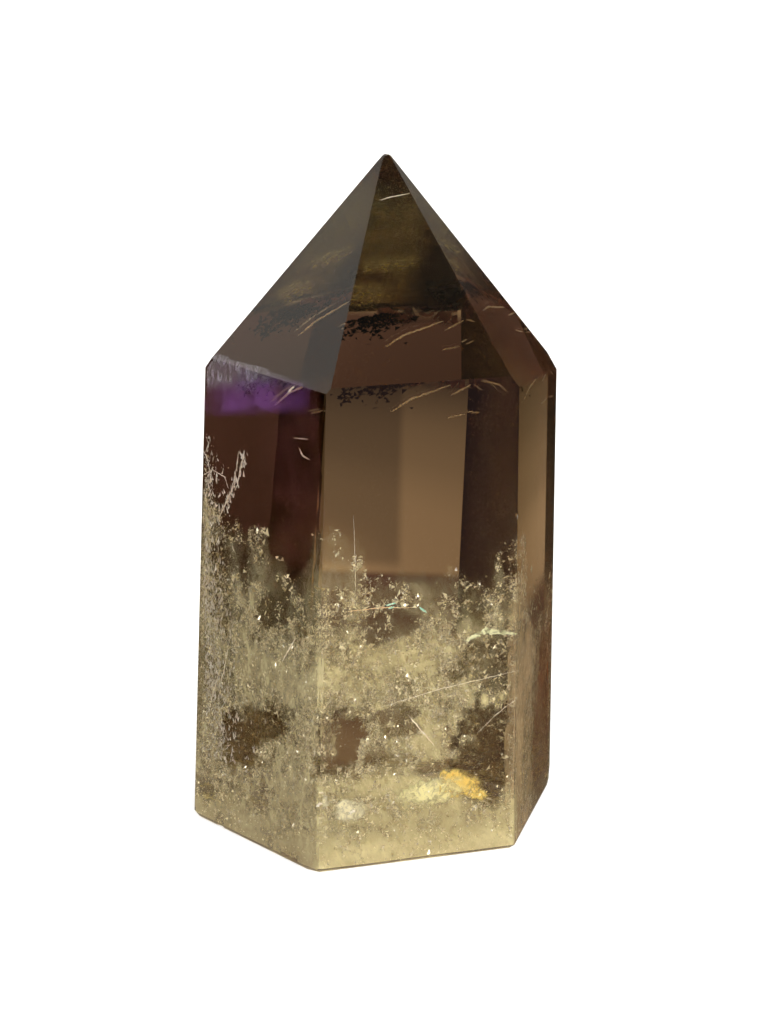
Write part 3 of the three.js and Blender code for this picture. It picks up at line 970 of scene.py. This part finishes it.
pale_streaks = ribbons("pale_streaks", [
    ("back", 0.6, [(-3.0, 45.5), (-5.5, 46.9), (-10.2, 48.2)], 0.15),
    ("back", 0.7, [(-10.2, 47.0), (-12.6, 48.1)], 0.13),
    ("back", 0.4, [(-10.0, 44.3), (-12.2, 44.6)], 0.10),
    ("left", 0.25, [(4.2, 51.7), (5.1, 52.5)], 0.14),
    ("left", 0.3, [(6.1, 46.2), (6.6, 45.5), (7.7, 45.3)], 0.05),
    ("left", 0.3, [(5.2, 47.1), (7.4, 47.4)], 0.03),
    ("point_centre", 0.25, [(-2.3, 70.2), (-0.9, 70.5), (1.2, 70.8)], 0.05),
    ("centre", 0.6, [(-8.6, 39.8), (-8.4, 35.0), (-8.3, 31.0)], 0.025),
    ("centre", 0.35, [(-5.7, 18.2), (1.0, 19.6), (10.2, 20.9)], 0.045),
    ("centre", 0.35, [(5.7, 14.1), (8.0, 16.2), (10.3, 17.7)], 0.04),
    ("centre", 0.4, [(-2.2, 17.0), (0.8, 13.2)], 0.11),
    ("centre", 0.4, [(-12.3, 7.6), (-11.8, 8.0)], 0.22),
    ("centre", 0.45, [(-8.8, 6.4), (-8.1, 6.8)], 0.26),
    ("left", 0.35, [(4.2, 22.5), (6.2, 25.6)], 0.10),
    ("left", 0.5, [(-6.2, 16.0), (-5.2, 19.0), (-4.6, 21.5)], 0.07),
    ("left", 0.5, [(-7.6, 14.0), (-6.0, 18.6)], 0.06),
], 801)
pale_streaks.data.materials.append(
    sheen_material("pale_streaks", (1.0, 0.97, 0.88, 1.0), (0.85, 0.76, 0.60, 1.0), 0.3, 0.8),
)
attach(pale_streaks, "root")


# The crack under the band
# A crack that runs down and to the left behind the left face, from the clear part into the
# veils. It shows as fine bright threads, with splinters along the longest.
SPLINTER_COUNT = 170

crack_threads = ribbons("crack_threads", [
    ("left", 0.6, [(-2.4, 44.4), (-3.0, 42.4), (-3.6, 40.0)], 0.14),
    ("left", 0.7, [(-3.4, 44.0), (-3.7, 42.0), (-4.6, 39.2)], 0.09),
    ("left", 0.6, [(-3.6, 41.0), (-5.2, 38.2), (-6.6, 35.8)], 0.13),
    ("left", 0.4, [(-9.3, 40.2), (-7.6, 41.2), (-5.6, 40.8), (-4.9, 39.6)], 0.06),
    ("left", 0.4, [(-9.7, 43.5), (-8.6, 42.4), (-7.8, 40.4)], 0.06),
], 802)
crack_threads.data.materials.append(
    sheen_material("crack_threads", (1.0, 0.98, 0.93, 1.0), (0.60, 0.50, 0.40, 1.0), 0.25, 0.35),
)
rng = np.random.default_rng(806)
down = rng.random(SPLINTER_COUNT)
splinter_across = np.interp(down, (0, 0.5, 1), (-2.5, -3.7, -6.5)) + rng.normal(0, 0.28, SPLINTER_COUNT)
splinter_height = np.interp(down, (0, 0.5, 1), (44.2, 40.2, 36.0))
splinter_depth = rng.uniform(0.5, 1.1, SPLINTER_COUNT)
splinter_centres = on_face(FACES["left"], splinter_across, splinter_height, splinter_depth)
crack_splinters = flakes(
    "crack_splinters", splinter_centres, rng.uniform(0.10, 0.30, SPLINTER_COUNT), 807,
    flatness=0.3, along=(-0.25, 0.25, 1.0), spread=0.25, stretch=2.6,
)
crack_splinters.data.materials.append(
    flake_material("crack_splinters", (0.48, 0.39, 0.31, 1.0), (1.0, 1.0, 0.97, 1.0), 0.25),
)
for obj in (crack_threads, crack_splinters):
    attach(obj, "root")


# The coloured glints
# Cracks in the middle and at the right of the veils behind the centre face that show colours: a
# level orange line with teal glints at it, and a pale green crescent.
crack_line = ribbons("bright_crack_line", [
    ("centre", 0.5, [(-9.1, 29.3), (-5.4, 29.4), (-2.0, 29.1)], 0.06),
], 803)
crack_line.data.materials.append(
    sheen_material("bright_crack_line", (1.0, 0.62, 0.34, 1.0), (1.0, 0.85, 0.55, 1.0), 0.3, 0.6),
)
teal_glints = ribbons("teal_glints", [
    ("centre", 0.45, [(-5.0, 29.6), (-3.9, 29.8)], 0.12),
    ("centre", 0.45, [(-4.7, 29.2), (-4.0, 29.4)], 0.10),
    ("centre", 0.45, [(-1.2, 29.1), (-0.4, 28.4)], 0.12),
], 804)
teal_glints.data.materials.append(
    sheen_material("teal_glints", (0.35, 0.80, 0.70, 1.0), (0.70, 0.95, 0.80, 1.0), 0.3, 0.5),
)
crescent = ribbons("green_crescent", [
    ("centre", 0.5, [(4.0, 24.8), (6.4, 25.8), (10.0, 25.1)], 0.40),
], 805)
crescent.data.materials.append(
    sheen_material("green_crescent", (0.70, 0.76, 0.46, 1.0), (0.90, 0.92, 0.62, 1.0), 0.4, 1.0, alpha=0.85),
)
for obj in (crack_line, teal_glints, crescent):
    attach(obj, "root")


# The dark flecks
# Ragged black films, probably of iron oxide, just inside the back face. Most hang close under
# its shoulder, towards the photographed side's middle, and a few are scattered below.
DENSE_COUNT = 260
SPARSE_COUNT = 120
FLECK_DEPTH = 0.85
rng = np.random.default_rng(820)
fleck_across = np.concatenate([rng.normal(-1.2, 1.5, DENSE_COUNT), rng.uniform(-6.8, 3.6, SPARSE_COUNT)])
fleck_drop = np.concatenate([rng.exponential(0.55, DENSE_COUNT), 1.15 + rng.exponential(0.40, SPARSE_COUNT)])
fleck_height = 49.5 - 0.13 * fleck_across - fleck_drop
fleck_centres = on_face(FACES["back"], fleck_across, fleck_height, np.full(len(fleck_across), FLECK_DEPTH))
fleck_radii = np.concatenate([rng.uniform(0.15, 0.42, DENSE_COUNT), rng.uniform(0.12, 0.40, SPARSE_COUNT)])
dark_flecks = flakes(
    "dark_flecks", fleck_centres, fleck_radii, 821, flatness=0.1,
    along=(0.8, 0.3, 0.3), spread=0.4, stretch=1.4,
)
dark_flecks.data.materials.append(
    flake_material("dark_flecks", (0.012, 0.010, 0.008, 1.0), (0.04, 0.028, 0.016, 1.0), 0.8, shine=0.05),
)
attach(dark_flecks, "root")


# The gold patch
# Iron-stained crack faces low behind the centre face: a gold one, with a pale yellow one beside
# it and small white clouds at the left. Shards in them, and more low behind the right face,
# catch the light.
def shards(name, side_name, outline, depth, count, size, seed):
    """Flat flakes lying close to a face, spread evenly over an oval given as (across, height,
    half width, half height)."""
    rng = np.random.default_rng(seed)
    angle = rng.uniform(0, 2 * np.pi, count)
    reach = np.sqrt(rng.random(count))
    x, z, half_width, half_height = outline
    across = x + half_width * reach * np.cos(angle)
    height = z + half_height * reach * np.sin(angle) - 0.35 * (across - x)
    centres = on_face(FACES[side_name], across, height, depth + rng.uniform(0, 0.5, count))
    return flakes(name, centres, rng.uniform(0.5, 1.0, count) * size, seed + 1, flatness=0.15, spread=0.8)


def gold_amount(across, height):
    """A leaning patch with ragged edges that ends in a sharp corner at its right."""
    rough = 0.5 * (noise_2d(across / 0.5, height / 0.5, 840) - 0.5)
    leaning_height = height + 0.25 * (across - 3.6)
    patch = [(3.6, 8.6, 2.2, 1.3), (5.8, 7.6, 1.3, 0.6), (2.2, 7.4, 1.6, 1.0, 0.7)]
    return spots(patch, across, leaning_height, rough, 0.45)


def yellow_amount(across, height):
    """A wide soft patch at the left of the gold one."""
    rough = 0.5 * (noise_2d(across / 0.7, height / 0.7, 841) - 0.5)
    return spots([(0.5, 7.8, 3.0, 1.4)], across, height, rough, 0.8)


def white_amount(across, height):
    """Small bright clouds low in the left half."""
    rough = 0.4 * (noise_2d(across / 0.5, height / 0.5, 846) - 0.5)
    clouds = [(-11.9, 8.1, 0.7, 0.55), (-8.6, 6.7, 1.5, 1.1, 0.7), (-9.4, 7.6, 0.8, 0.5, 0.8)]
    return spots(clouds, across, height, rough, 0.7)


GOLD = (1.0, 0.76, 0.20, 1.0)
PALE_YELLOW = (1.0, 0.95, 0.52, 1.0)
CLOUD_WHITE = (1.0, 0.95, 0.66, 1.0)
for name, across_range, height_range, depth, amount, seed, colour, grain, strength in (
    ("gold_patch", (1.5, 9.0), (4.5, 11.0), 0.45, gold_amount, 842, GOLD, 0.7, 0.95),
    ("pale_yellow_patch", (-3.5, 5.0), (4.0, 10.5), 0.40, yellow_amount, 843, PALE_YELLOW, 0.9, 0.85),
    ("white_clouds", (-12.3, 8.0), (4.5, 9.5), 0.35, white_amount, 844, CLOUD_WHITE, 0.8, 1.1),
):
    patch = bloom_sheet(name, "centre", depth, across_range, height_range, amount, seed)
    patch.data.materials.append(bloom_material(name, colour, grain, strength, 1.0))
    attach(patch, "root")
for name, side_name, outline, depth, count, size, seed, dull, bright, roughness in (
    ("gold_shards", "centre", (3.9, 8.4, 2.2, 1.1), 0.30, 170, 0.24, 830,
     (0.70, 0.42, 0.08, 1.0), (1.0, 0.88, 0.40, 1.0), 0.25),
    ("yellow_glints", "centre", (6.0, 7.4, 1.0, 0.45), 0.25, 46, 0.28, 832,
     (1.0, 0.85, 0.35, 1.0), (1.0, 0.97, 0.62, 1.0), 0.3),
    ("amber_glints", "right", (-4.6, 5.4, 1.4, 5.0), 0.25, 120, 0.32, 834,
     (1.0, 0.74, 0.24, 1.0), (1.0, 0.96, 0.56, 1.0), 0.3),
):
    glitter = shards(name, side_name, outline, depth, count, size, seed)
    glitter.data.materials.append(flake_material(name, dull, bright, roughness))
    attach(glitter, "root")
